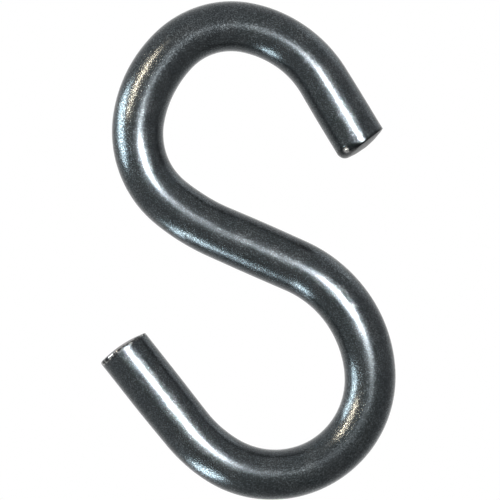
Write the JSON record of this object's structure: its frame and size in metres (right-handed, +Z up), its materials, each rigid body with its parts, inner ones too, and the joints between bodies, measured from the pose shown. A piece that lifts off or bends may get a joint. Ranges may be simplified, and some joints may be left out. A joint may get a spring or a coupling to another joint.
{
  "type": "s hook",
  "caption": "Open S hook bent from round dark-finished steel wire: an upper hook that hangs on a rail or ring, an opposed lower hook that carries the load, and plain cropped ends.",
  "frame": {"origin": "the upper seat: the highest point inside the upper hook's bend, midway across the wire, where a rail or ring bears", "axes": "+Z up as the hook hangs, with the lower seat straight below the upper one; +Y runs through the eyes, away from the front; +X towards the side where the upper hook opens"},
  "size_m": [0.0471, 0.008, 0.0762],
  "materials": {
    "dark_steel": "glossy dark gunmetal finish over drawn steel wire, with a fine grain and faint draw lines along the wire"
  },
  "bodies": {
    "root": {"s_hook": "dark_steel"}
  },
  "joints": []
}
